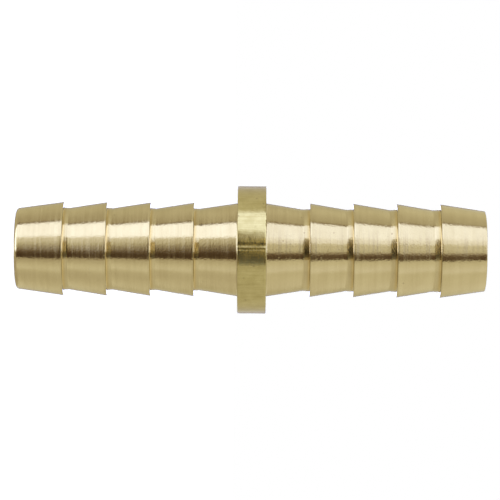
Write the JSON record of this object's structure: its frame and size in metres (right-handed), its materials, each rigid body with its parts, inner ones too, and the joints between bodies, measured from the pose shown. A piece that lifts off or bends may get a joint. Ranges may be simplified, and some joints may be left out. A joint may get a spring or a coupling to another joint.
{
  "type": "hose barb splice",
  "caption": "One-piece turned brass splice with a plain round centre collar and saw-tooth hose barbs on both ends, bored right through.",
  "frame": {"origin": "centre of the lower end face, on the bore's axis", "axes": "+Z along the bore's axis, from the lower end towards the upper end; X and Y are any two directions square to it, because the form is turned"},
  "size_m": [0.0142, 0.0142, 0.0526],
  "materials": {
    "brass": "bare turned metal, with fine tool marks round the barbs and drawn lines along the collar"
  },
  "bodies": {
    "root": {"splice_body": "brass"}
  },
  "joints": []
}
